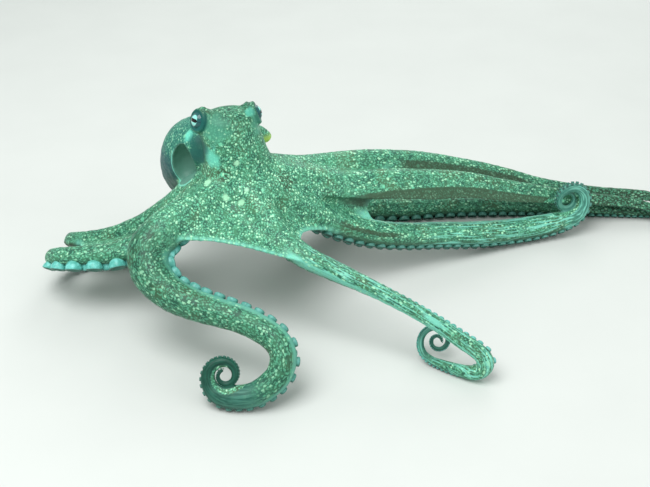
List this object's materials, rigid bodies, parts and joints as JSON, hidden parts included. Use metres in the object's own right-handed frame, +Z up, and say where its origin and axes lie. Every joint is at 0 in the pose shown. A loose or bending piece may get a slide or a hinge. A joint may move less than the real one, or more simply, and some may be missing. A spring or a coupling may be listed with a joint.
{
  "type": "octopus",
  "caption": "Life-size still model of a common octopus crawling with arms spread, the web stretched between them and arm tips curled; rests on its arms.",
  "frame": {"origin": "on the floor, under the middle of the box round the whole animal", "axes": "+Z up, -Y the way the head faces, +X towards the animal's left and the longest arms"},
  "size_m": [0.6687, 0.3724, 0.1847],
  "materials": {
    "skin": "moist mottled skin, pale spots on olive brown",
    "mantle_skin": "moist speckled skin, dark blue grey below",
    "arm_tip_skin": "moist pale skin with small suckers",
    "eye": "wet, with a pearly iris and a dark slit pupil",
    "funnel": "moist yellow green skin"
  },
  "bodies": {
    "root": {"crown": "skin", "web_front": "skin", "web_left_front": "skin", "web_left": "skin", "web_left_rear": "skin", "web_rear": "skin", "web_right_rear": "skin", "web_right": "skin", "web_right_front": "skin", "head": "skin", "mantle": "mantle_skin", "funnel": "funnel", "eye_right": "eye", "eye_left": "eye", "arm_right_1_base": "skin", "arm_right_1_middle": "skin", "arm_right_1_tip": "arm_tip_skin", "arm_left_1_base": "skin", "arm_left_1_middle": "skin", "arm_left_1_tip": "arm_tip_skin", "arm_right_2_base": "skin", "arm_right_2_middle": "skin", "arm_right_2_tip": "arm_tip_skin", "arm_right_3_base": "skin", "arm_right_3_middle": "skin", "arm_right_3_tip": "arm_tip_skin", "arm_right_4_base": "skin", "arm_right_4_middle": "skin", "arm_right_4_tip": "arm_tip_skin", "arm_left_2_base": "skin", "arm_left_2_middle": "skin", "arm_left_2_tip": "arm_tip_skin", "arm_left_3_base": "skin", "arm_left_3_middle": "skin", "arm_left_3_tip": "arm_tip_skin", "arm_left_4_base": "skin", "arm_left_4_middle": "skin", "arm_left_4_tip": "arm_tip_skin"}
  },
  "joints": []
}
